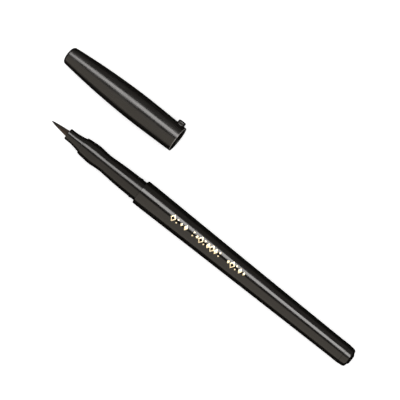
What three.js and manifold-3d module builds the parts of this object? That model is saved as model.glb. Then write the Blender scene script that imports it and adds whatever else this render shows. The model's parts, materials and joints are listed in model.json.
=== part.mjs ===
// A capped brush pen with its cap off and lying beside it. Millimetres, +Z up.
// The pen lies along X with its bristles at -X. The cap lies on the +Y side.
// The origin is at the bottom centre of the box that holds both.
import * as THREE from "three";
import { mergeVertices } from "three/addons/utils/BufferGeometryUtils.js";
import Module from "manifold-3d";

// ---- Driving sizes of the pen, front to back ----
const brushOut = 8.45;
const brushRadius = 1.33;
const brushPoint = 0.62;
const nozzleLength = 7.45;
const nozzleNoseRadius = 2.45;
const nozzleNoseLength = 2.2;
const nozzleFlareBend = 0.3;
const nozzleSkirtDrop = 0.57;
const gripLength = 29.3;
const barrelLength = 101.6;
const barrelFrontRadius = 5.35;
const barrelTailRadius = 4.3;
const barrelWall = 0.94;
const barrelEdge = 0.45;
const barrelStraight = 4.6;
const barrelTailStraight = 7;
const barrelBow = 0.13;
const tailLength = 4;
const tailTaper = 0.2;
const tailCorner = 1.5;
const tailDome = 0.6;
const tailFlatRadius = 1.3;

// ---- The grip's shape, as steps down from its rear radius ----
const gripWaistDrop = 0.57;
const gripBulgeRise = 0.38;
const gripNoseDrop = 0.6;
const gripNoseEdge = 0.2;
const gripNoseEdgeLength = 0.7;
const gripBulgeAt = 5.9;
const gripWaistAt = 11.2;
const ridgeBeforeBarrel = 2.4;
const ridgeHeight = 0.16;
const ridgeHalfWidth = 0.9;
const gripWall = 0.85;

// ---- Joint between grip and barrel ----
const mouthDepth = 2;
const threadLength = 7.5;
const threadDrop = 0.4;

// ---- Brush, feed and cartridge ----
const spigotLength = 4;
const spigotLedge = 0.28;
const spigotWall = 0.5;
const sleeveWall = 0.28;
const sleeveLength = 8.2;
const heelLength = 1.3;
const relayRadius = 0.42;
const relayIntoBrush = 4.3;
const housingWall = 0.6;
const feedCoreWall = 0.6;
const finCount = 8;
const finWidth = 0.9;
const nippleLength = 5.5;
const nippleWall = 0.7;
const neckWall = 0.8;
const cartridgeBodyLength = 44;
const cartridgeShoulder = 1.6;
const cartridgeWall = 0.55;
const cartridgeEdge = 0.7;
const ballRadius = 1.1;
const inkGapBehindShoulder = 6;

// ---- Driving sizes of the cap ----
const capEndRoom = 10.3;
const capWall = 0.75;
const capRimWall = 0.6;
const capRimDepth = 1.2;
const capBellyRise = 0.37;
const capBellyBeforeMouth = 18.5;
const capEndDrop = 1.96;
const capEndDepth = 1.6;
const capEndFlatRadius = 1.2;
const capEndThickness = 1.6;
const capSwell = 1.95;
const capTuck = 1.25;
const beadBeforeRidge = 1.4;
const beadHalfWidth = 0.5;
const linerOverGrip = 1.9;
const linerFloor = 1;
const linerFromEnd = 5.2;
const linerEndWall = 0.6;
const buttonRadius = 1.65;
const buttonHeight = 1.35;
const buttonRound = 0.45;
const buttonBeforeMouth = 2.7;
const buttonLift = THREE.MathUtils.degToRad(8);

// ---- Where the cap lies ----
const capAside = 25.1;
const capShortOfBarrel = 1.2;
const capYaw = THREE.MathUtils.degToRad(0.42);
const capBalanceBeforeMouth = 29.7;

// ---- Clearances ----
const pressGap = 0.05;
const slideGap = 0.06;
const faceGap = 0.1;
const ridgeGap = 0.34;
const beadGap = 0.07;
const linerGap = 0.2;
const bristleGap = 0.05;

// ---- Facets round a turned piece, and steps along its curves ----
const facets = 40;
const smallFacets = 24;
const cornerSteps = 3;
const bowSteps = 6;

// ---- Stations along the pen, from the brush's point ----
const nozzleFront = brushOut;
const gripFront = nozzleFront + nozzleLength;
const barrelFront = gripFront + gripLength;
const threadFront = barrelFront + mouthDepth;
const threadRear = threadFront + threadLength;
const barrelRear = barrelFront + barrelLength;
const penEnd = barrelRear + tailLength;
const spigotRear = gripFront + spigotLength;
const sleeveFront = nozzleFront + faceGap;
const sleeveRear = sleeveFront + sleeveLength;
const brushRear = sleeveRear - faceGap;
const heelRear = sleeveRear + faceGap + heelLength;
const housingFront = spigotRear + faceGap;
const housingRear = barrelFront - faceGap;
const nippleRear = housingRear + nippleLength;
const cartridgeFront = housingRear + faceGap;
const shoulderFront = threadRear + faceGap;
const cartridgeRear = shoulderFront + cartridgeBodyLength;
const ridgeAt = barrelFront - ridgeBeforeBarrel;

// ---- Radii that follow from the driving sizes ----
const mouthBore = barrelFrontRadius - barrelWall;
const gripRearRadius = mouthBore - slideGap;
const gripWaistRadius = gripRearRadius - gripWaistDrop;
const gripBulgeRadius = gripWaistRadius + gripBulgeRise;
const gripNoseRadius = gripRearRadius - gripNoseDrop;
const nozzleSkirtRadius = gripNoseRadius - nozzleSkirtDrop;
const threadRadius = gripRearRadius - threadDrop;
const threadBore = threadRadius + slideGap;
const tailBore = barrelTailRadius - barrelWall;
const gripBore = gripWaistRadius - gripWall;
const sleeveBore = brushRadius + 2 * bristleGap;
const sleeveRadius = sleeveBore + sleeveWall;
const nozzleBore = sleeveRadius + pressGap;
const nozzleSpigotRadius = Math.max(gripBore - spigotLedge, nozzleBore + spigotWall);
const housingRadius = gripBore - pressGap;
const housingBore = housingRadius - housingWall;
const relayBore = relayRadius + pressGap;
const nippleBore = relayBore + faceGap;
const nippleRadius = nippleBore + nippleWall;
const neckBore = nippleRadius + slideGap;
const neckRadius = Math.min(neckBore + neckWall, gripBore - slideGap);
const cartridgeRadius = Math.min(threadBore, tailBore) - faceGap;
const cartridgeBore = cartridgeRadius - cartridgeWall;

// ---- The cap, from its closed end to its mouth ----
const capLength = capEndRoom + brushOut + nozzleLength + gripLength;
const capBelly = capLength - capBellyBeforeMouth;
const capMouthRadius = gripRearRadius + ridgeHeight + ridgeGap + capRimWall;
const capBellyRadius = capMouthRadius + capBellyRise;
const capSeat = barrelFront - faceGap - capLength;
const linerMouth = gripFront + linerOverGrip - capSeat;
const linerMouthBore = gripNoseRadius + linerGap;
const beadAt = ridgeAt - beadBeforeRidge - capSeat;
const beadBore = gripRearRadius + beadGap;

// A solid turned about +X. Each outline point is [station along X, radius].
function turned(outline, sides = facets) {
  const points = outline.map(([along, radius]) => new THREE.Vector2(radius, along));
  if (points[0].x > 0) points.push(points[0].clone());
  return new THREE.LatheGeometry(points, sides).rotateZ(-Math.PI / 2);
}

// Points of a smooth curve through the given outline points.
function smooth(through, steps) {
  const curve = new THREE.SplineCurve(through.map(([along, radius]) => new THREE.Vector2(along, radius)));
  return curve.getPoints(steps).map((p) => [p.x, p.y]);
}

// Points of a curve bent by one control point.
function bent(start, control, end, steps) {
  const [a, b, c] = [start, control, end].map(([along, radius]) => new THREE.Vector2(along, radius));
  return new THREE.QuadraticBezierCurve(a, b, c).getPoints(steps).map((p) => [p.x, p.y]);
}

// Values at equal steps from one number to another, both ends included.
function steps(from, to, count) {
  return Array.from({ length: count + 1 }, (_, i) => from + ((to - from) * i) / count);
}

function plastic(color, roughness, extra = {}) {
  return new THREE.MeshStandardMaterial({ color, roughness, metalness: 0, ...extra });
}

function piece(name, geometry, material) {
  const mesh = new THREE.Mesh(geometry, material);
  mesh.name = name;
  return mesh;
}

// ---- Barrel and tail ----

// The barrel's outside is straight at its mouth, then a slightly hollow taper, then straight again.
function barrel() {
  const taperFront = barrelFront + barrelStraight;
  const taperRear = barrelRear - barrelTailStraight;
  const middle = [(taperFront + taperRear) / 2, (barrelFrontRadius + barrelTailRadius) / 2 - barrelBow];
  const plugBoreFront = barrelRear - barrelTailStraight - faceGap;
  const outline = [
    [barrelFront, mouthBore],
    ...bent(
      [barrelFront, barrelFrontRadius - barrelEdge],
      [barrelFront, barrelFrontRadius],
      [barrelFront + barrelEdge, barrelFrontRadius],
      cornerSteps,
    ),
    ...bent([taperFront, barrelFrontRadius], middle, [taperRear, barrelTailRadius], bowSteps),
    [barrelRear, barrelTailRadius],
    [barrelRear, tailBore],
    [plugBoreFront, tailBore],
    [threadRear + cartridgeShoulder, threadBore],
    [threadFront, threadBore],
    [threadFront, mouthBore],
  ];
  return piece("barrel", turned(outline), plastic(0x12110f, 0.3));
}

// A plug with a rounded end that closes the tail, with a spigot in the barrel's bore.
function tailPlug() {
  const spigotRadius = tailBore - pressGap;
  const domeAt = penEnd - tailDome;
  const endRadius = barrelTailRadius - tailTaper;
  const domeRadius = endRadius - tailCorner;
  const outline = [
    [barrelRear - barrelTailStraight, 0],
    [barrelRear - barrelTailStraight, spigotRadius],
    [barrelRear + pressGap, spigotRadius],
    [barrelRear + pressGap, barrelTailRadius],
    ...bent([domeAt - tailCorner, endRadius], [domeAt, endRadius], [domeAt, domeRadius], bowSteps),
    ...bent(
      [domeAt, domeRadius],
      [penEnd, (domeRadius + tailFlatRadius) / 2],
      [penEnd, tailFlatRadius],
      cornerSteps,
    ).slice(1),
    [penEnd, 0],
  ];
  return piece("tail_plug", turned(outline), plastic(0x12110f, 0.34));
}

// ---- Grip section and nozzle ----

// The grip's outside from its front edge to the plain land in the barrel's mouth.
function gripOutside() {
  const noseAt = gripFront + gripNoseEdgeLength;
  const bulgeAt = gripFront + gripBulgeAt;
  const waistAt = gripFront + gripWaistAt;
  const ridgeFront = ridgeAt - ridgeHalfWidth;
  return [
    [gripFront, gripNoseRadius - gripNoseEdge],
    ...smooth(
      [
        [noseAt, gripNoseRadius],
        [bulgeAt, gripBulgeRadius],
        [waistAt, gripWaistRadius],
        [(waistAt + ridgeFront) / 2, (gripWaistRadius + gripRearRadius) / 2 + gripNoseEdge / 2],
        [ridgeFront, gripRearRadius],
      ],
      14,
    ),
    [ridgeAt, gripRearRadius + ridgeHeight],
    [ridgeAt + ridgeHalfWidth, gripRearRadius],
  ];
}

// The grip screws into the barrel. Its thread is a plain land at the thread's crest.
function frontSection() {
  const spigotBore = nozzleSpigotRadius + pressGap;
  const outline = [
    [gripFront, spigotBore],
    ...gripOutside(),
    [threadFront - faceGap, gripRearRadius],
    [threadFront - faceGap, threadRadius],
    [threadRear, threadRadius],
    [threadRear, gripBore],
    [spigotRear, gripBore],
    [spigotRear, spigotBore],
  ];
  return piece("front_section", turned(outline), plastic(0x100f0e, 0.32));
}

// The nozzle's short straight nose flares almost straight to the grip's front face.
function nozzle() {
  const skirt = gripFront - faceGap;
  const noseRear = nozzleFront + nozzleNoseLength;
  const noseEdge = sleeveWall / 2;
  const outline = [
    [nozzleFront, nozzleBore],
    [nozzleFront, nozzleNoseRadius - noseEdge],
    [nozzleFront + noseEdge, nozzleNoseRadius],
    ...bent(
      [noseRear, nozzleNoseRadius],
      [noseRear + (skirt - noseRear) * nozzleFlareBend, nozzleNoseRadius],
      [skirt, nozzleSkirtRadius],
      bowSteps,
    ),
    [skirt, nozzleSpigotRadius],
    [spigotRear - faceGap, nozzleSpigotRadius],
    [spigotRear - faceGap, nozzleBore],
  ];
  return piece("nozzle", turned(outline), plastic(0x131210, 0.36));
}

// ---- Brush ----

function brushSleeve() {
  const outline = [
    [sleeveFront, sleeveBore],
    [sleeveFront, sleeveRadius],
    [sleeveRear, sleeveRadius],
    [sleeveRear, sleeveBore],
  ];
  return piece("brush_sleeve", turned(outline, smallFacets), plastic(0x1a1816, 0.5));
}

// The bristles come to a fine point. A hole from behind takes the ink relay.
function bristleTuft() {
  const shaft = brushRadius + bristleGap;
  const point = steps(0, 1, 10).map((t) => [brushOut * t, brushRadius * t ** brushPoint]);
  const relayFront = brushRear - relayIntoBrush - faceGap;
  const outline = [
    ...point,
    [sleeveFront + bristleGap, shaft],
    [brushRear, shaft],
    [brushRear, relayBore],
    [relayFront, relayBore],
    [relayFront, 0],
  ];
  return piece("bristle_tuft", turned(outline, smallFacets), plastic(0x2c2420, 0.85));
}

// The bristles' ends are fused into a collar behind the sleeve.
function tuftHeel() {
  const heelFront = sleeveRear + faceGap;
  const outline = [
    [heelFront, relayBore],
    [heelFront, sleeveRadius],
    [heelRear, sleeveRadius],
    [heelRear, relayBore],
  ];
  return piece("tuft_heel", turned(outline, smallFacets), plastic(0x5a5048, 0.6));
}

// ---- Ink feed ----

// A tube in the grip that ends in the nipple the cartridge is pushed on.
function feedHousing() {
  const outline = [
    [housingFront, housingBore],
    [housingFront, housingRadius],
    [housingRear, housingRadius],
    [housingRear, nippleRadius],
    [nippleRear, nippleRadius],
    [nippleRear, nippleBore],
    [housingRear - housingWall, nippleBore],
    [housingRear - housingWall, housingBore],
  ];
  return piece("feed_housing", turned(outline, smallFacets), plastic(0x8d8b86, 0.45));
}

// A finned collector: its fins hold back spare ink.
function inkFeed() {
  const front = housingFront;
  const rear = housingRear - housingWall - faceGap;
  const coreRadius = relayBore + feedCoreWall;
  const finRadius = housingBore - faceGap;
  const pitch = (rear - front - finWidth) / (finCount - 1);
  const fins = Array.from({ length: finCount }, (_, i) => front + pitch * i).flatMap((at) => [
    [at, coreRadius],
    [at, finRadius],
    [at + finWidth, finRadius],
    [at + finWidth, coreRadius],
  ]);
  const outline = [[front, relayBore], ...fins.slice(1, -1), [rear, relayBore]];
  return piece("ink_feed", turned(outline, smallFacets), plastic(0x2a2a2b, 0.5));
}

// The fibre rod that carries ink from the cartridge into the bristles.
function relayCore() {
  const front = brushRear - relayIntoBrush;
  const rear = nippleRear - faceGap;
  const outline = [
    [front, 0],
    [front, relayRadius],
    [rear, relayRadius],
    [rear, 0],
  ];
  return piece("relay_core", turned(outline, smallFacets), plastic(0xd9d4c8, 0.9));
}

// ---- Cartridge ----

// A blow-moulded tube with a narrow neck that is open where the nipple has pierced it.
function cartridgeBody() {
  const bodyFront = shoulderFront + cartridgeShoulder;
  const outline = [
    [cartridgeFront, neckBore],
    [cartridgeFront, neckRadius],
    [shoulderFront, neckRadius],
    [bodyFront, cartridgeRadius],
    ...bent(
      [cartridgeRear - cartridgeEdge, cartridgeRadius],
      [cartridgeRear, cartridgeRadius],
      [cartridgeRear, cartridgeRadius - cartridgeEdge],
      cornerSteps,
    ),
    [cartridgeRear, 0],
    [cartridgeRear - cartridgeWall, 0],
    [cartridgeRear - cartridgeWall, cartridgeBore],
    [bodyFront + cartridgeWall, cartridgeBore],
    [shoulderFront + cartridgeWall, neckBore],
  ];
  const clear = { transparent: true, opacity: 0.45 };
  return piece("cartridge_body", turned(outline), plastic(0xdfe3e2, 0.3, clear));
}

// The ball that sealed the neck lies on the cartridge's floor once the nipple has pushed it in.
function cartridgeBall() {
  const ball = piece(
    "cartridge_ball",
    new THREE.SphereGeometry(ballRadius, 16, 10),
    plastic(0xb9bcc0, 0.25, { metalness: 0.9 }),
  );
  const at = shoulderFront + cartridgeShoulder + cartridgeWall + ballRadius + faceGap;
  ball.position.set(at, 0, ballRadius + faceGap - cartridgeBore);
  return ball;
}

function inkCharge() {
  const front = shoulderFront + inkGapBehindShoulder;
  const rear = cartridgeRear - cartridgeWall - faceGap;
  const radius = cartridgeBore - faceGap;
  const outline = [
    [front, 0],
    [front, radius],
    [rear, radius],
    [rear, 0],
  ];
  return piece("ink_charge", turned(outline, smallFacets), plastic(0x050506, 0.1));
}

// ---- Cap ----

// The cap's outer radius at a distance from its closed end: it swells to a belly, then tucks in.
function capOutside(at) {
  if (at <= capBelly) {
    const share = (capBelly - at) / (capBelly - capEndDepth);
    return capBellyRadius - capEndDrop * share ** capSwell;
  }
  const share = (at - capBelly) / capBellyBeforeMouth;
  return capBellyRadius - capBellyRise * share ** capTuck;
}

function capInside(at) {
  return capOutside(at) - capWall;
}

function solidOf(geometry, wasm) {
  const bare = geometry.clone();
  bare.deleteAttribute("normal");
  bare.deleteAttribute("uv");
  const merged = mergeVertices(bare, 1e-4);
  const vertProperties = merged.attributes.position.array;
  const triVerts = new Uint32Array(merged.index.array);
  return new wasm.Manifold(new wasm.Mesh({ numProp: 3, vertProperties, triVerts }));
}

function geometryOf(solid) {
  const mesh = solid.getMesh();
  const geometry = new THREE.BufferGeometry();
  geometry.setAttribute("position", new THREE.BufferAttribute(new Float32Array(mesh.vertProperties), 3));
  geometry.setIndex(new THREE.BufferAttribute(new Uint32Array(mesh.triVerts), 1));
  geometry.computeVertexNormals();
  return geometry;
}

// A thin shell, with a bead inside its mouth that snaps behind the grip's ridge.
function capShellGeometry() {
  const endRadius = capOutside(capEndDepth);
  const rimBore = capMouthRadius - capRimWall;
  const innerFront = beadAt - beadHalfWidth;
  const innerRear = beadAt + beadHalfWidth;
  const boreFront = innerFront - 2 * beadHalfWidth;
  const outline = [
    [0, 0],
    ...bent([0, capEndFlatRadius], [0, endRadius], [capEndDepth, endRadius], 5),
    ...steps(capEndDepth, capBelly, 8).slice(1).map((at) => [at, capOutside(at)]),
    ...steps(capBelly, capLength, 5).slice(1).map((at) => [at, capOutside(at)]),
    [capLength, rimBore],
    [capLength - capRimDepth, rimBore],
    [innerRear + beadHalfWidth, capInside(innerRear)],
    [innerRear, beadBore],
    [innerFront, beadBore],
    [innerFront - beadHalfWidth, capInside(innerFront)],
    ...steps(boreFront, capEndThickness, 8).slice(1).map((at) => [at, capInside(Math.max(at, capEndDepth))]),
    [capEndThickness, 0],
  ];
  return turned(outline);
}

// The round button that stops the cap rolling, standing on the shell near its mouth.
function buttonGeometry() {
  const at = capLength - buttonBeforeMouth;
  const root = capOutside(at) - capWall / 2;
  const top = capOutside(at) + buttonHeight;
  const outline = [
    [root, 0],
    [root, buttonRadius],
    ...bent(
      [top - buttonRound, buttonRadius],
      [top, buttonRadius],
      [top, buttonRadius - buttonRound],
      cornerSteps,
    ),
    [top, 0],
  ];
  return turned(outline, smallFacets)
    .rotateZ(Math.PI / 2)
    .rotateX(buttonLift)
    .translate(at, 0, 0);
}

async function capShell() {
  const wasm = await Module();
  wasm.setup();
  const joined = solidOf(capShellGeometry(), wasm).add(solidOf(buttonGeometry(), wasm));
  return piece("cap_shell", geometryOf(joined), plastic(0x131210, 0.28));
}

// A tapered cup in the cap's closed half. Its mouth seals round the front of the grip.
function innerCap() {
  const outside = (at) => capInside(at) - pressGap;
  const innerEnd = linerFromEnd + linerFloor;
  const outline = [
    [linerFromEnd, 0],
    ...steps(linerFromEnd, linerMouth, 5).map((at) => [at, outside(at)]),
    [linerMouth, linerMouthBore],
    [innerEnd, outside(innerEnd) - linerEndWall],
    [innerEnd, 0],
  ];
  return piece("inner_cap", turned(outline), plastic(0x1d1c1b, 0.55));
}

// ---- The pen lies on its barrel's front and rear rims ----
function layPen() {
  const pen = new THREE.Group();
  pen.add(barrel(), tailPlug());
  pen.add(frontSection(), nozzle(), brushSleeve(), bristleTuft(), tuftHeel());
  pen.add(feedHousing(), inkFeed(), relayCore());
  pen.add(cartridgeBody(), cartridgeBall(), inkCharge());
  const frontRim = barrelFront + barrelStraight;
  const tilt = Math.atan2(barrelFrontRadius - barrelTailRadius, barrelRear - frontRim);
  pen.rotation.y = tilt;
  pen.position.z = frontRim * Math.sin(tilt) + barrelFrontRadius * Math.cos(tilt);
  return pen;
}

// ---- The cap lies on its swell, so its mouth is a little higher than its closed end ----
async function layCap() {
  const cap = new THREE.Group();
  cap.add(await capShell(), innerCap());
  const balance = capLength - capBalanceBeforeMouth;
  const slope = capOutside(balance + 0.5) - capOutside(balance - 0.5);
  const turnedCap = new THREE.Group();
  cap.position.x = -capLength;
  turnedCap.add(cap);
  turnedCap.rotation.set(0, -Math.atan(slope), capYaw, "ZYX");
  turnedCap.position.set(barrelFront - capShortOfBarrel, capAside, 0);
  turnedCap.updateMatrixWorld(true);
  turnedCap.position.z = -new THREE.Box3().setFromObject(turnedCap, true).min.z;
  return turnedCap;
}

const both = new THREE.Group();
both.add(layPen(), await layCap());
both.updateMatrixWorld(true);
const box = new THREE.Box3().setFromObject(both, true);
const middle = box.getCenter(new THREE.Vector3());
both.position.set(-middle.x, -middle.y, -box.min.z);

const brushPen = new THREE.Group();
brushPen.add(both);
export default brushPen;
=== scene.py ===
"""A brush pen with its cap off, lying on a pale floor. Lengths are in metres."""
import json
import math
import random

import bpy
import numpy as np
from mathutils import Matrix, Vector


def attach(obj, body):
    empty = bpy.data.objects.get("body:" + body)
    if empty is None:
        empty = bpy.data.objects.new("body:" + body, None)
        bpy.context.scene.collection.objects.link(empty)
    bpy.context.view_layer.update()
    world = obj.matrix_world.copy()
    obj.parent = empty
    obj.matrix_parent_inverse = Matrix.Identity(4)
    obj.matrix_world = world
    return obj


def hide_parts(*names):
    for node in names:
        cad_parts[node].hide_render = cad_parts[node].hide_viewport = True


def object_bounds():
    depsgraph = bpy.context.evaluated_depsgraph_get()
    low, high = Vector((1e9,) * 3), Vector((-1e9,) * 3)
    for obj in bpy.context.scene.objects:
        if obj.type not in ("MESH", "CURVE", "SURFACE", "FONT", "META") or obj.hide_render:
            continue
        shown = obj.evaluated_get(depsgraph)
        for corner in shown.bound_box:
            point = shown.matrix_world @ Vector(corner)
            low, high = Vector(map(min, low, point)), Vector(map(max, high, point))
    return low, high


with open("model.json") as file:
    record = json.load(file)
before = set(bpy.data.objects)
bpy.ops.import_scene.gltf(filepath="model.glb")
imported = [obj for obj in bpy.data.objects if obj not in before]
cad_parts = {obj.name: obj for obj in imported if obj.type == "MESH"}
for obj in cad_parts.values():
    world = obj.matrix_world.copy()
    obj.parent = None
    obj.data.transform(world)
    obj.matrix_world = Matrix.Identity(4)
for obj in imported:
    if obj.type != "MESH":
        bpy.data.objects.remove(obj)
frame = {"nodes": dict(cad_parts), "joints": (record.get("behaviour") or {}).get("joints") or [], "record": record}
cad_low, cad_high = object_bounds()

MM = 0.001
UP = Vector((0, 0, 1))
ALONG = Vector((1, 0, 0))

# ---- How finely the turned pieces are drawn ----
SIDES = 160
SMALL_SIDES = 64
SEGMENT_STEPS = 5
FILLET_STEPS = 4
# An outline has a corner where it turns by more than this, and a mesh shows one where its faces do
CORNER = math.radians(24)
SHARP = math.radians(38)
# How far a rounded corner reaches, and the most that it takes of the stretch beside it
EDGE = 0.07 * MM
FINE_EDGE = 0.03 * MM
FILLET_SHARE = 0.4
# Points this close lie together, and points this close to the axis lie on it
TOUCH = 0.01 * MM
ON_AXIS = 0.001 * MM

# ---- Axes of the pen and of the cap ----


class Axis:
    """A long axis with stations along it, radii about it, and angles from its top towards +Y."""

    def __init__(self, direction, start):
        self.along = Vector(direction).normalized()
        self.side = UP.cross(self.along).normalized()
        self.up = self.along.cross(self.side)
        self.start = Vector(start)

    def point(self, station, radius, angle):
        spoke = self.up * math.cos(angle) + self.side * math.sin(angle)
        return self.start + self.along * station + spoke * radius

    def measure(self, point):
        """Station, radius and angle of a point."""
        away = Vector(point) - self.start
        rise, drift = away.dot(self.up), away.dot(self.side)
        return away.dot(self.along), math.hypot(rise, drift), math.atan2(drift, rise)


def end_point(node, direction):
    """The middle of a node's end that lies furthest back along a direction."""
    points = {tuple(round(x, 7) for x in v.co) for v in frame["nodes"][node].data.vertices}
    points = np.array(sorted(points))
    stations = points @ np.array(direction)
    return Vector(points[stations < stations.min() + TOUCH].mean(0))


def axis_against(rows, name):
    """The direction against the axis of a joint or a mount."""
    return -Vector(next(row["axis"] for row in rows if row["name"] == name))


# The pen's way is from its brush to its tail, and the cap's from its closed end to its mouth
pen_way = axis_against(frame["joints"], "section_draw")
cap_way = axis_against(frame["record"]["mounts"], "cap_end")
PEN = Axis(pen_way, end_point("bristle_tuft", pen_way))
CAP = Axis(cap_way, end_point("cap_shell", cap_way))


def outline_of(node, axis):
    """A turned node's outline under its axis, as ordered (station, radius) points."""
    mesh = frame["nodes"][node].data
    under = {}
    for v in mesh.vertices:
        station, radius, angle = axis.measure(v.co)
        if radius < TOUCH or abs(abs(angle) - math.pi) < math.radians(1):
            under[v.index] = (round(station, 6), round(radius, 6))
    links = {}
    for edge in mesh.edges:
        a, b = (under.get(i) for i in edge.vertices)
        if a and b and a != b and a[1] + b[1] > 0:
            links.setdefault(a, set()).add(b)
            links.setdefault(b, set()).add(a)
    here = min(links, key=lambda p: (p[1] > 0, p[0]))
    walk, left = [here], set(links) - {here}
    while left:
        near = links[here] & left
        here = min(near or left, key=lambda p: math.dist(p, here))
        left.discard(here)
        walk.append(here)
    return walk


def is_closed(outline):
    return outline[0][1] > 0 or outline[-1][1] > 0


def turn_at(a, b, c):
    """How far the outline turns at b."""
    before, after = Vector(b) - Vector(a), Vector(c) - Vector(b)
    return before.angle(after, 0.0)


def corners_of(outline):
    """For each point, whether the outline has a corner there."""
    n, closed = len(outline), is_closed(outline)
    found = []
    for i, p in enumerate(outline):
        if not closed and i in (0, n - 1):
            found.append(True)
            continue
        found.append(turn_at(outline[i - 1], p, outline[(i + 1) % n]) > CORNER)
    return found


def refined(outline, edge=EDGE):
    """The outline with its curved stretches made smooth and its corners rounded by edge."""
    n, closed, corner = len(outline), is_closed(outline), corners_of(outline)
    points = [Vector(p) for p in outline]
    out = []
    for i in range(n):
        here, after = points[i], points[(i + 1) % n]
        if corner[i] and (closed or 0 < i < n - 1):
            out += fillet(points[i - 1], here, after, edge)
        else:
            out.append(here)
        if not closed and i == n - 1:
            break
        before = here if corner[i] else points[i - 1]
        beyond = after if corner[(i + 1) % n] else points[(i + 2) % n]
        if corner[i] and corner[(i + 1) % n]:
            continue
        for k in range(1, SEGMENT_STEPS):
            out.append(spline(before, here, after, beyond, k / SEGMENT_STEPS))
    return [(p.x, max(p.y, 0.0)) for p in out]


def spline(a, b, c, d, t):
    """A point between b and c on the smooth curve through a, b, c and d."""
    span = (c - b).length
    start = (c - a).normalized() * span if a != b else c - b
    end = (d - b).normalized() * span if d != c else c - b
    t2, t3 = t * t, t * t * t
    return b * (2 * t3 - 3 * t2 + 1) + start * (t3 - 2 * t2 + t) + c * (3 * t2 - 2 * t3) + end * (t3 - t2)


def fillet(before, corner, after, radius):
    """Points that round a corner off."""
    back, on = before - corner, after - corner
    reach = min(radius, back.length * FILLET_SHARE, on.length * FILLET_SHARE)
    start, end = corner + back.normalized() * reach, corner + on.normalized() * reach
    points = []
    for k in range(FILLET_STEPS + 1):
        t = k / FILLET_STEPS
        points.append(start * (1 - t) ** 2 + corner * 2 * t * (1 - t) + end * t * t)
    return points


# ---- Meshes ----


def mesh_object(name, vertices, faces, material):
    mesh = bpy.data.meshes.new(name)
    mesh.from_pydata([tuple(v) for v in vertices], [], faces)
    mesh.validate()
    mesh.shade_smooth()
    mesh.set_sharp_from_angle(angle=SHARP)
    mesh.materials.append(material)
    obj = bpy.data.objects.new(name, mesh)
    bpy.context.scene.collection.objects.link(obj)
    return obj


def faces_between(rings, loop):
    """Faces from each ring of vertex numbers to the next, with none where a ring is one point."""
    following = rings[1:] + (rings[:1] if loop else [])
    faces = []
    for a, b in zip(rings, following):
        for k in range(len(a)):
            m = (k + 1) % len(a)
            corners = [a[k], a[m], b[m], b[k]]
            face = [c for i, c in enumerate(corners) if c != corners[i - 1]]
            if len(face) > 2:
                faces.append(face)
    return faces


def turned_mesh(axis, outline, sides, cut=None):
    """Vertices and faces of an outline turned about an axis, with the depths that cut takes off."""
    vertices, rings = [], []
    for station, radius in outline:
        first = len(vertices)
        if radius < ON_AXIS:
            vertices.append(axis.point(station, 0, 0))
            rings.append([first] * sides)
            continue
        for k in range(sides):
            angle = math.tau * k / sides
            depth = cut(station, radius, angle) if cut else 0
            vertices.append(axis.point(station, radius - depth, angle))
        rings.append(list(range(first, first + sides)))
    faces = faces_between(rings, is_closed(outline))
    area = sum(p[0] * q[1] - q[0] * p[1] for p, q in zip(outline, outline[1:] + outline[:1]))
    if area < 0:
        faces = [face[::-1] for face in faces]
    return vertices, faces


def turned(name, axis, outline, material, sides=SIDES, cut=None):
    return smooth_object(name, [turned_mesh(axis, outline, sides, cut)], material)


def smooth_object(name, parts, material):
    """One object of several closed meshes, each given as vertices and faces."""
    vertices, faces = [], []
    for more, linked in parts:
        first = len(vertices)
        vertices += more
        faces += [[first + i for i in face] for face in linked]
    obj = mesh_object(name, vertices, faces, material)
    weigh = obj.modifiers.new("flat faces stay flat", "WEIGHTED_NORMAL")
    weigh.keep_sharp = True
    return obj


def with_rings(outline, low, high, inside, outside, step):
    """The outline with points a step apart where it runs from low to high between two radii."""
    out = []
    for a, b in zip(outline, outline[1:] + outline[:1]):
        out.append(a)
        if not all(inside < r < outside for r in (a[1], b[1])):
            continue
        long, drop = b[0] - a[0], b[1] - a[1]
        count = int(abs(long) / step)
        between = [(a[0] + long * k / count, a[1] + drop * k / count) for k in range(1, count)]
        out += [p for p in between if low < p[0] < high]
    return out


def skin_radius(outline, station):
    """The outline's greatest radius at a station, or at its nearest end."""
    station = min(max(station, min(u for u, r in outline)), max(u for u, r in outline))
    best = 0
    for (u, r), (v, q) in zip(outline, outline[1:]):
        if min(u, v) <= station <= max(u, v) and u != v:
            best = max(best, r + (q - r) * (station - u) / (v - u))
    return best


def stand_for(obj, node, body):
    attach(obj, body)
    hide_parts(node)


# ---- Materials ----
BLACK = (0.0048, 0.0041, 0.0034)
WORN = (0.035, 0.032, 0.029)
# A pale grey painted on the cap's mouth edge: a painted highlight where the lip catches light
PAINTED_RIM_HIGHLIGHT = (0.34, 0.32, 0.3)
# The near-black colour of the brush towards its point
DARK_POINT = (0.004, 0.0035, 0.003)
# How deep the grain of a moulded or plain surface is
RELIEF = 0.006 * MM


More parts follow.
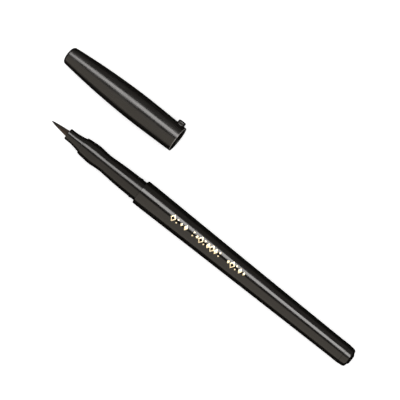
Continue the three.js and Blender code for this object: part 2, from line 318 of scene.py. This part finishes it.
class Finish:
    """A material in the making: its shader, and fields worked out in the object's own space."""

    def __init__(self, name):
        self.material = bpy.data.materials.new(name)
        self.material.use_nodes = True
        self.nodes, self.links = self.material.node_tree.nodes, self.material.node_tree.links
        self.shader = self.nodes["Principled BSDF"]
        self.place = self.nodes.new("ShaderNodeTexCoord").outputs["Object"]

    def made(self, kind, feeds, output, **settings):
        """The output of a new node, with its inputs linked or set."""
        node = self.nodes.new(kind)
        for name, value in settings.items():
            setattr(node, name, value)
        for socket, value in feeds.items():
            if isinstance(value, bpy.types.NodeSocket):
                self.links.new(value, node.inputs[socket])
            else:
                node.inputs[socket].default_value = value
        return node.outputs[output]

    def noise(self, scale, detail=3.0, stretch=(1, 1, 1)):
        """A noise with about scale features a metre, drawn out along an axis where its stretch is small."""
        where = self.made("ShaderNodeMapping", {"Vector": self.place, "Scale": stretch}, "Vector")
        return self.made("ShaderNodeTexNoise", {"Vector": where, "Scale": scale, "Detail": detail}, "Fac")

    def spread(self, value, low, high, start=0.0, end=1.0):
        feeds = {"Value": value, "From Min": start, "From Max": end, "To Min": low, "To Max": high}
        return self.made("ShaderNodeMapRange", feeds, "Result")

    def maths(self, operation, a, b=0.0):
        return self.made("ShaderNodeMath", {0: a, 1: b}, "Value", operation=operation)

    def vectors(self, operation, feeds, output="Vector"):
        return self.made("ShaderNodeVectorMath", dict(enumerate(feeds)), output, operation=operation)

    def ramp(self, value, stops):
        node = self.nodes.new("ShaderNodeValToRGB")
        elements = node.color_ramp.elements
        while len(elements) < len(stops):
            elements.new(0.5)
        for element, (at, color) in zip(elements, stops):
            element.position = at
            element.color = (*color, 1)
        self.links.new(value, node.inputs["Fac"])
        return node.outputs["Color"]

    def mix(self, share, a, b):
        return self.made("ShaderNodeMixRGB", {"Fac": share, "Color1": a, "Color2": b}, "Color")

    def edge_mark(self, axis, edges):
        """How strongly the edge mark lies on the surface: most at its edges, each a circle given by station,
        radius and width. It is wear on the pen's edges, a painted highlight on the cap's mouth, and the darker
        point of the brush.
        """
        away = self.vectors("SUBTRACT", (self.place, axis.start))
        station = self.vectors("DOT_PRODUCT", (away, axis.along), "Value")
        spoke = self.vectors("CROSS_PRODUCT", (away, axis.along))
        radius = self.vectors("LENGTH", (spoke,), "Value")
        edge_share = 0.0
        for at, round_at, width in edges:
            on, out = self.maths("SUBTRACT", station, at), self.maths("SUBTRACT", radius, round_at)
            square = self.maths("ADD", self.maths("MULTIPLY", on, on), self.maths("MULTIPLY", out, out))
            near = self.spread(self.maths("SQRT", square), 1.0, 0.0, 0.0, width)
            edge_share = self.maths("MAXIMUM", near, edge_share)
        patches = self.spread(self.noise(1500, 4), 0.35, 1.0, 0.35, 0.6)
        return self.maths("MULTIPLY", edge_share, patches)

    def gloss(self, value):
        self.links.new(value, self.shader.inputs["Roughness"])

    def color(self, value):
        self.links.new(value, self.shader.inputs["Base Color"])

    def bump(self, height, depth, strength=0.5):
        feeds = {"Height": height, "Distance": depth, "Strength": strength}
        self.links.new(self.made("ShaderNodeBump", feeds, "Normal"), self.shader.inputs["Normal"])


def shade(color, times):
    return tuple(c * times for c in color)


def moulded_plastic(name, color, roughness, ior=1.5, axis=PEN, edges=(), edge_mark=WORN):
    """Moulded plastic: clouded colour, drawn-out gloss marks, an orange-peel skin and pale worn edges; on the
    cap's mouth the pale edge is a painted highlight.
    """
    made = Finish(name)
    base = made.ramp(made.noise(90, 4), [(0.3, shade(color, 0.8)), (0.7, shade(color, 1.2))])
    handled = made.spread(made.noise(700, 5, (0.12, 1, 1)), roughness * 0.75, roughness * 1.25, 0.3, 0.7)
    # Edges paler in colour: wear on the pen's mouths, a painted highlight on the cap's mouth
    if edges:
        edge_share = made.edge_mark(axis, edges)
        base = made.mix(edge_share, base, (*edge_mark, 1))
        handled = made.maths("ADD", handled, made.spread(edge_share, 0.0, 0.2))
    made.color(base)
    made.gloss(handled)
    made.shader.inputs["IOR"].default_value = ior
    made.bump(made.noise(1300, 3, (0.35, 1, 1)), RELIEF)
    return made.material


def grained(name, low, high, roughness, metallic=0.0, grain=1500, stretch=(1, 1, 1)):
    """A plain finish with a grain in its colour, gloss and surface."""
    made = Finish(name)
    field = made.noise(grain, 4, stretch)
    made.color(made.ramp(field, [(0.35, low), (0.65, high)]))
    made.gloss(made.spread(field, roughness * 0.85, roughness * 1.15))
    made.shader.inputs["Metallic"].default_value = metallic
    made.bump(field, RELIEF)
    return made.material


def clear_plastic(name):
    """The cartridge's slightly milky, see-through polypropylene."""
    made = Finish(name)
    made.color(made.ramp(made.noise(60), [(0.3, (0.80, 0.83, 0.82)), (0.7, (0.87, 0.89, 0.88))]))
    made.gloss(made.spread(made.noise(500), 0.16, 0.22))
    made.shader.inputs["Transmission Weight"].default_value = 0.93
    made.shader.inputs["IOR"].default_value = 1.3
    made.bump(made.noise(300, 1), 0.004 * MM, 0.3)
    return made.material


def bristle_finish(name):
    """Brown synthetic bristles, near black towards the point."""
    made = Finish(name)
    strands = made.noise(900, 3, (0.08, 1, 1))
    hairs = made.ramp(
        strands, [(0.3, (0.010, 0.006, 0.004)), (0.52, (0.036, 0.022, 0.013)), (0.75, (0.105, 0.068, 0.044))]
    )
    # Darker towards the point, in patches, fading out 4.6 mm behind it
    dark_point_share = made.spread(made.edge_mark(PEN, [(0.0, 0.0, 4.6 * MM)]), 0.0, 1.0, 0.0, 0.42)
    made.color(made.mix(dark_point_share, hairs, (*DARK_POINT, 1)))
    made.gloss(made.spread(strands, 0.42, 0.6))
    made.shader.inputs["Specular IOR Level"].default_value = 0.3
    made.bump(strands, 0.01 * MM)
    return made.material


def front_edge(node, axis, direction, width):
    """The outer edge of a turned node's end: its station, its radius and the width of its edge mark, which is wear
    on the pen and a painted highlight on the cap's mouth.
    """
    outline = outline_of(node, axis)
    station = (end_point(node, direction) - axis.start).dot(axis.along)
    return station, skin_radius(outline, station), width


# The cap's mouth edge, where the painted highlight lies
CAP_MOUTH = front_edge("cap_shell", CAP, -cap_way, 0.3 * MM)
BARREL_MOUTH = front_edge("barrel", PEN, pen_way, 0.22 * MM)
GRIP_NOSE = front_edge("front_section", PEN, pen_way, 0.22 * MM)
NOZZLE_NOSE = front_edge("nozzle", PEN, pen_way, 0.18 * MM)

# Each material slot's look
LOOKS = {
    "barrel_plastic": moulded_plastic("barrel_plastic", BLACK, 0.17, 1.5, PEN, [BARREL_MOUTH]),
    # The cap's mouth edge is painted pale grey: a painted highlight of its lip
    "cap_plastic": moulded_plastic("cap_plastic", shade(BLACK, 1.1), 0.27, 1.49, CAP, [CAP_MOUTH], PAINTED_RIM_HIGHLIGHT),
    "grip_plastic": moulded_plastic("grip_plastic", BLACK, 0.19, 1.43, PEN, [GRIP_NOSE]),
    "nozzle_plastic": moulded_plastic("nozzle_plastic", BLACK, 0.22, 1.43, PEN, [NOZZLE_NOSE]),
    "liner_plastic": moulded_plastic("liner_plastic", shade(BLACK, 1.6), 0.5),
    "housing_plastic": grained("housing_plastic", (0.27, 0.26, 0.24), (0.33, 0.32, 0.30), 0.4),
    "feed_plastic": grained("feed_plastic", (0.018, 0.018, 0.019), (0.024, 0.024, 0.025), 0.5),
    "cartridge_plastic": clear_plastic("cartridge_plastic"),
    "bristle": bristle_finish("bristle"),
    "fused_bristle": grained("fused_bristle", (0.09, 0.07, 0.055), (0.15, 0.12, 0.10), 0.5),
    "fibre": grained("fibre", (0.60, 0.57, 0.50), (0.74, 0.71, 0.64), 0.85, stretch=(0.1, 1, 1)),
    "ball_steel": grained("ball_steel", (0.50, 0.51, 0.53), (0.62, 0.63, 0.65), 0.16, metallic=1.0),
    "ink": grained("ink", (0.0015, 0.0015, 0.002), (0.003, 0.003, 0.0035), 0.08),
}
GOLD = grained("gold_foil", (0.80, 0.64, 0.38), (0.95, 0.84, 0.60), 0.42, metallic=0.75, grain=3000)

# ---- Screw threads, where the grip's tail turns into the barrel's mouth ----
THREAD_PITCH = 1.0 * MM
THREAD_DEPTH = 0.17 * MM
THREAD_STEP = THREAD_PITCH / 12
THREAD_FADE = 0.8 * MM
THREAD_BEHIND_MOUTH = 1.5 * MM
# The groove's share of the pitch, and how steep its flanks are, where 1 makes a plain V
GROOVE_WIDE = 1 / 1.7
GROOVE_STEEP = 1.6
# A land is the stretch of an outline within this much of one radius
LAND_SLACK = 0.03 * MM


def thread_cut(first, last, inside, outside, deep):
    """A screw thread's depth at a point, fading at both ends of its land."""

    def cut(station, radius, angle):
        if not (inside < radius < outside and first <= station <= last):
            return 0
        turn = (station / THREAD_PITCH - angle / math.tau) % 1
        groove = max(0.0, 1 - abs(turn - 0.5) * 2 / GROOVE_WIDE)
        fade = min(1.0, (station - first) / THREAD_FADE, (last - station) / THREAD_FADE)
        return deep * min(1.0, groove * GROOVE_STEEP) * max(fade, 0.0)

    return cut


# ---- Turned pieces, smooth where the frame's are faceted ----
TURNED = (
    # name, node, axis, body, slot, edge, sides
    ("tail_end", "tail_plug", PEN, "barrel", "barrel_plastic", EDGE, SIDES),
    ("nose_cone", "nozzle", PEN, "section", "nozzle_plastic", EDGE, SIDES),
    ("bristle_sleeve", "brush_sleeve", PEN, "section", "nozzle_plastic", FINE_EDGE, SMALL_SIDES),
    ("bristle_heel", "tuft_heel", PEN, "section", "fused_bristle", FINE_EDGE, SMALL_SIDES),
    ("housing_tube", "feed_housing", PEN, "section", "housing_plastic", EDGE, SMALL_SIDES),
    ("finned_feed", "ink_feed", PEN, "section", "feed_plastic", FINE_EDGE, SMALL_SIDES),
    ("relay_rod", "relay_core", PEN, "section", "fibre", FINE_EDGE, SMALL_SIDES),
    ("cartridge_tube", "cartridge_body", PEN, "cartridge", "cartridge_plastic", EDGE, SIDES),
    ("ink_fill", "ink_charge", PEN, "cartridge", "ink", EDGE, SMALL_SIDES),
    ("cap_liner", "inner_cap", CAP, "cap", "liner_plastic", EDGE, SIDES),
)
for name, node, axis, body, slot, edge, sides in TURNED:
    shape = refined(outline_of(node, axis), edge)
    stand_for(turned(name, axis, shape, LOOKS[slot], sides), node, body)


def threaded(name, node, body, slot, end, radius, deep):
    """A turned piece with a screw thread on its land of about a radius, from the barrel's mouth to end."""
    outline = outline_of(node, PEN)
    inside, outside = radius - LAND_SLACK, radius + LAND_SLACK
    mouth = BARREL_MOUTH[0] + THREAD_BEHIND_MOUTH
    land = [u for u, r in outline if mouth < u < end and inside < r < outside]
    first, last = min(land), max(land)
    shape = with_rings(refined(outline), first, last, inside, outside, THREAD_STEP)
    cut = thread_cut(first, last, inside, outside, deep)
    stand_for(turned(name, PEN, shape, LOOKS[slot], SIDES, cut), node, body)


section_outline, barrel_outline = outline_of("front_section", PEN), outline_of("barrel", PEN)
section_end = max(u for u, r in section_outline)
crest = skin_radius(section_outline, section_end - 1 * MM)
bore = min((abs(r - crest), r) for u, r in barrel_outline if u < section_end + 2 * MM)[1]
threaded("grip", "front_section", "section", "grip_plastic", section_end, crest, THREAD_DEPTH)
threaded("barrel_tube", "barrel", "barrel", "barrel_plastic", section_end + 1 * MM, bore, -THREAD_DEPTH)

# The ball is round enough as it is, and only takes its steel
ball = frame["nodes"]["cartridge_ball"].data
ball.materials.clear()
ball.materials.append(LOOKS["ball_steel"])

# ---- Closed forms made of rings of points ----


def lofted(rings, loop=False):
    """Vertices and faces of rings joined one to the next; a ring may be a single point."""
    vertices, numbers = [], []
    sides = max(len(ring) for ring in rings)
    for ring in rings:
        first = len(vertices)
        vertices += ring
        numbers.append([first + (k if len(ring) > 1 else 0) for k in range(sides)])
    return vertices, outward(vertices, faces_between(numbers, loop))


def outward(vertices, faces):
    """The faces, turned over if they face inwards."""
    volume = 0
    for face in faces:
        first, *others = (vertices[i] for i in face)
        volume += sum(first.dot(p.cross(q)) for p, q in zip(others, others[1:]))
    return faces if volume > 0 else [face[::-1] for face in faces]


# ---- The cap's shell and its knob ----
KNOB_SIDES = 48
KNOB_EDGE = 0.45 * MM
KNOB_EDGE_STEPS = 6
KNOB_ROOT = 0.3 * MM
KNOB_CROWN = 0.06 * MM
# The crown's one ring, as shares of the knob's radius and of the crown's height
CROWN_OUT, CROWN_UP = 0.4, 0.8
# How far the foot's fillet reaches out from the knob, and how high it stands on the shell there, in mm
KNOB_FOOT = ((0.45, -0.3), (0.45, -0.03), (0.22, 0.015), (0.09, 0.07), (0.02, 0.17), (0.0, 0.32))


def knob(node, axis):
    """The knob beside the cap's mouth, with a filleted foot that follows the round shell."""
    outline = outline_of(node, axis)
    places = [axis.measure(v.co) for v in frame["nodes"][node].data.vertices]
    proud = [(u, r, a) for u, r, a in places if r > skin_radius(outline, u) + EDGE]
    stations = [u for u, r, a in proud]
    station, half = (min(stations) + max(stations)) / 2, (max(stations) - min(stations)) / 2
    angle = (min(a for u, r, a in proud) + max(a for u, r, a in proud)) / 2
    top = max(r * math.cos(a - angle) for u, r, a in proud)
    out = axis.point(0, 1, angle) - axis.start
    across = axis.along.cross(out)

    def ring(radius, height=None, lift=0.0):
        points = []
        for k in range(KNOB_SIDES):
            a = math.tau * k / KNOB_SIDES
            on, over = radius * math.cos(a), radius * math.sin(a)
            skin = math.sqrt(skin_radius(outline, station + on) ** 2 - over * over)
            rise = skin + lift if height is None else height
            points.append(axis.point(station + on, 0, 0) + across * over + out * rise)
        return points

    rings = [[axis.point(station, 0, 0) + out * (skin_radius(outline, station) - KNOB_ROOT)]]
    rings += [ring(half + reach * MM, None, lift * MM) for reach, lift in KNOB_FOOT]
    for k in range(KNOB_EDGE_STEPS + 1):
        a = math.pi / 2 * k / KNOB_EDGE_STEPS
        rings.append(ring(half - KNOB_EDGE * (1 - math.cos(a)), top - KNOB_EDGE * (1 - math.sin(a))))
    rings.append(ring(half * CROWN_OUT, top + KNOB_CROWN * CROWN_UP))
    rings.append([axis.point(station, 0, 0) + out * (top + KNOB_CROWN)])
    return lofted(rings)


shell = turned_mesh(CAP, refined(outline_of("cap_shell", CAP)), SIDES)
cap_tube = smooth_object("cap_tube", [shell, knob("cap_shell", CAP)], LOOKS["cap_plastic"])
stand_for(cap_tube, "cap_shell", "cap")

# ---- The brush: a core and the strands that lie on it ----
STRANDS = 260
STRAND_RADIUS = 0.05 * MM
STRAND_SIDES = 5
STRAND_RINGS = 16
STRAND_ROOT = 10.8 * MM
GOLDEN = math.pi * (3 - math.sqrt(5))
CORE_SHARE = 0.93
# The shortest strand ends this far behind the point, and most end nearer to it
SHORTEST = 3.4 * MM
TIP_CROWDING = 1.7
# A strand's rings lie closer together towards its tip
RING_CROWDING = 1.5
# How deep a strand lies, in strand radii, how far it sways, and how many radians of sway a metre has
DEPTHS = (0.0, 0.35, 0.8)
SWAY = 0.05
SWAY_WAVES = 900
# A strand is thin over this much behind its tip, and thin where the tuft's own radius is small
TIP_TAPER = 2.2 * MM
TAPER_BEND = 0.6
POINT_THIN, POINT_RADIUS = 0.35, 0.9 * MM


def strand(outline, number, rng):
    """One bristle, lying on the tuft from its root to a point of its own."""
    angle = GOLDEN * number + rng.uniform(-0.03, 0.03)
    tip = SHORTEST * rng.random() ** TIP_CROWDING
    depth = rng.choice(DEPTHS) * STRAND_RADIUS
    sway, phase = rng.uniform(0.0, SWAY), rng.uniform(0, math.tau)
    thick = STRAND_RADIUS * rng.uniform(0.75, 1.1)
    rings = []
    for k in range(STRAND_RINGS + 1):
        station = tip + (STRAND_ROOT - tip) * (k / STRAND_RINGS) ** RING_CROWDING
        skin = skin_radius(outline, station)
        taper = ((station - tip) / TIP_TAPER) ** TAPER_BEND
        width = thick * min(1.0, taper, POINT_THIN + skin / POINT_RADIUS)
        swayed = angle + sway * math.sin(phase + SWAY_WAVES * station)
        centre = PEN.point(station, max(skin - width - depth, 0), swayed)
        if k == 0:
            rings.append([centre])
            continue
        spokes = [math.tau * m / STRAND_SIDES for m in range(STRAND_SIDES)]
        rings.append([centre + (PEN.up * math.cos(a) + PEN.side * math.sin(a)) * width for a in spokes])
    rings.append([PEN.point(STRAND_ROOT + width, max(skin - width - depth, 0), angle)])
    return lofted(rings)


def tuft():
    rng = random.Random(7)
    outline = outline_of("bristle_tuft", PEN)
    core = [(u, r * CORE_SHARE if u < STRAND_ROOT else r) for u, r in refined(outline, FINE_EDGE)]
    parts = [turned_mesh(PEN, core, SMALL_SIDES)]
    parts += [strand(outline, number, rng) for number in range(STRANDS)]
    return smooth_object("bristle_bundle", parts, LOOKS["bristle"])


stand_for(tuft(), "bristle_tuft", "section")

# ---- Gold foil ornament on the barrel ----
FOIL_RISE = 0.012 * MM
FOIL_SINK = 0.03 * MM
FOIL_STEP = 0.3 * MM
FOIL_TIP = 0.02 * MM
MITRE_LIMIT = 0.5
DOT_STEPS = 8
# Where each group of marks starts and ends behind the barrel's mouth, in mm, and its marks in order
ORNAMENT = (
    (15.8, 24.2, ("open", "dots", "small", "solid")),
    (26.0, 40.8, ("dots", "small", "open", "dots", "solid", "open", "solid", "dots")),
    (43.4, 53.0, ("small", "open", "dots", "solid", "small")),
)


def foil_point(station, arc, lift):
    skin = skin_radius(barrel_outline, station)
    return PEN.point(station, skin + lift, arc / skin)


def ribbon(points, halves, loop=False):
    """A strip of foil along a path of (station, arc) points, with half its width at each."""
    columns = max(2, math.ceil(2 * max(halves) / FOIL_STEP))
    rings, count = [], len(points)
    for i, (p, half) in enumerate(zip(points, halves)):
        before = points[i - 1] if i or loop else p
        after = points[(i + 1) % count] if i < count - 1 or loop else p
        p, before, after = Vector(p), Vector(before), Vector(after)
        way, way_in, way_out = after - before, p - before, after - p
        normal = Vector((-way.y, way.x)).normalized()
        if way_in.length and way_out.length:
            half = half / max(MITRE_LIMIT, math.cos(way_in.angle(way_out) / 2))
        row = [p + normal * half * (2 * k / columns - 1) for k in range(columns + 1)]
        top = [foil_point(q.x, q.y, FOIL_RISE) for q in row]
        bottom = [foil_point(q.x, q.y, -FOIL_SINK) for q in row]
        rings.append(top + bottom[::-1])
    if not loop:
        first, last = ([sum(ring, Vector()) / len(ring)] for ring in (rings[0], rings[-1]))
        rings = [first, *rings, last]
    return lofted(rings, loop)


def stepped(corners, loop=False):
    """Points no more than a foil step apart along a path."""
    out = []
    for a, b in zip(corners, corners[1:] + (corners[:1] if loop else [])):
        a, b = Vector(a), Vector(b)
        count = max(1, math.ceil((b - a).length / FOIL_STEP))
        out += [tuple(a.lerp(b, k / count)) for k in range(count)]
    return out if loop else out + [tuple(corners[-1])]


def open_lozenge(u, long, high, half):
    points = stepped([(u - long, 0), (u, high), (u + long, 0), (u, -high)], True)
    return [ribbon(points, [half] * len(points), True)]


def solid_lozenge(u, long, high):
    points = stepped([(u - long, 0), (u + long, 0)])
    return [ribbon(points, [max(high * (1 - abs(p[0] - u) / long), FOIL_TIP) for p in points])]


def dots(u, radius, apart):
    marks = []
    angles = [math.pi * k / DOT_STEPS for k in range(DOT_STEPS + 1)]
    for arc in (-apart, apart):
        points = [(u - radius * math.cos(a), arc) for a in angles]
        marks.append(ribbon(points, [max(radius * math.sin(a), FOIL_TIP) for a in angles]))
    return marks


# Each mark's form, with half its length, half its height and half its line, or a dot's radius and place
MARKS = {
    "open": (open_lozenge, 0.95 * MM, 1.25 * MM, 0.17 * MM),
    "solid": (solid_lozenge, 0.8 * MM, 1.2 * MM),
    "small": (solid_lozenge, 0.55 * MM, 0.7 * MM),
    "dots": (dots, 0.3 * MM, 0.75 * MM),
}


def ornament():
    parts = []
    for start, end, kinds in ORNAMENT:
        gap = (end - start) / len(kinds)
        for i, kind in enumerate(kinds):
            form, *sizes = MARKS[kind]
            parts += form(BARREL_MOUTH[0] + (start + gap * (i + 0.5)) * MM, *sizes)
    return smooth_object("foil_ornament", parts, GOLD)


foil = ornament()
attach(foil, "barrel")

# ---- Floor, camera and lights ----
middle = (cad_low + cad_high) / 2
middle.z = cad_low.z
FLOOR_HALF = 3.0
FLOOR_GLOW = 0.42


def make_floor():
    """A pale floor that glows a little, so that the shadows on it are faint."""
    made = Finish("floor")
    made.color(made.ramp(made.noise(12, 2), [(0.3, (0.87, 0.87, 0.87)), (0.7, (0.89, 0.89, 0.89))]))
    made.shader.inputs["Roughness"].default_value = 0.9
    made.shader.inputs["Emission Color"].default_value = (1, 1, 1, 1)
    made.shader.inputs["Emission Strength"].default_value = FLOOR_GLOW
    half = FLOOR_HALF
    corners = [(-half, -half, 0), (half, -half, 0), (half, half, 0), (-half, half, 0)]
    obj = mesh_object("floor", corners, [(0, 1, 2, 3)], made.material)
    obj.visible_glossy = False


CAMERA_TILT = math.radians(4.4)
CAMERA_TURN = math.radians(38.464)
CAMERA_FAR = 0.9
VIEW_WIDE = 0.157
AIM = middle + Vector((-4.1 * MM, -1.36 * MM, 5.5 * MM))


def make_camera():
    """A camera almost straight above, a little towards the pen's tail, so the cap's mouth shows."""
    camera = bpy.data.cameras.new("camera")
    camera.sensor_width = 36
    camera.lens = camera.sensor_width * CAMERA_FAR / VIEW_WIDE
    camera.clip_start, camera.clip_end = 0.01, 20
    obj = bpy.data.objects.new("camera", camera)
    bpy.context.scene.collection.objects.link(obj)
    back = Vector((math.sin(CAMERA_TILT), 0, math.cos(CAMERA_TILT)))
    right = Vector((math.cos(CAMERA_TURN), math.sin(CAMERA_TURN), 0))
    right = (right - back * right.dot(back)).normalized()
    turn = Matrix((right, back.cross(right), back)).transposed().to_4x4()
    obj.matrix_world = Matrix.Translation(AIM + back * CAMERA_FAR) @ turn
    bpy.context.scene.camera = obj


LAMP_LONG = 2.4
LAMP_FAR = 0.6


def make_lamp(name, first, last, radiance, color=(1, 1, 1)):
    """A long light over the pen that its gloss shows from one angle to another, from the top towards +Y."""
    centre, half = math.radians((first + last) / 2), math.radians((last - first) / 2)
    back = Vector((0, math.sin(centre), math.cos(centre)))
    lamp = bpy.data.lights.new(name, "AREA")
    lamp.shape = "RECTANGLE"
    lamp.size, lamp.size_y = LAMP_LONG, 2 * LAMP_FAR * math.tan(half)
    lamp.energy = radiance * math.pi * lamp.size * lamp.size_y
    lamp.color = color
    turn = Matrix((ALONG, back.cross(ALONG), back)).transposed().to_4x4()
    obj = placed_lamp(name, lamp, Matrix.Translation(middle + back * LAMP_FAR) @ turn)
    obj.visible_diffuse = False


def placed_lamp(name, lamp, where):
    obj = bpy.data.objects.new(name, lamp)
    bpy.context.scene.collection.objects.link(obj)
    obj.matrix_world = where
    obj.visible_camera = False
    return obj


def make_fill(size, height, radiance):
    """A broad light overhead that lights the floor and isn't seen in the gloss."""
    lamp = bpy.data.lights.new("fill", "AREA")
    lamp.size = size
    lamp.energy = radiance * math.pi * size * size
    obj = placed_lamp("fill", lamp, Matrix.Translation(middle + UP * height))
    obj.visible_glossy = False


def make_world(seen, gloss, glow):
    """A pale surround for the camera, a dark one in the gloss, and a soft glow for the rest."""
    world = bpy.data.worlds.new("world")
    bpy.context.scene.world = world
    world.use_nodes = True
    nodes, links = world.node_tree.nodes, world.node_tree.links
    path = nodes.new("ShaderNodeLightPath")
    color = None
    for ray, level in (("Is Glossy Ray", gloss), ("Is Camera Ray", seen)):
        mix = nodes.new("ShaderNodeMixRGB")
        mix.inputs["Color1"].default_value = (glow, glow, glow, 1)
        mix.inputs["Color2"].default_value = (level, level, level, 1)
        if color:
            links.new(color, mix.inputs["Color1"])
        links.new(path.outputs[ray], mix.inputs["Fac"])
        color = mix.outputs["Color"]
    links.new(color, nodes["Background"].inputs["Color"])


make_floor()
make_camera()
make_lamp("strip", 10, 35, 9.0, (1.0, 0.975, 0.955))
make_lamp("near_box", -90, -12, 1.08, (1.1, 1.0, 0.86))
make_lamp("far_box", 46, 86, 0.24, (1.08, 1.0, 0.9))
make_fill(2.0, 1.4, 1.9)
make_world(0.95, 0.0015, 0.3)
bpy.context.scene.view_settings.view_transform = "Standard"
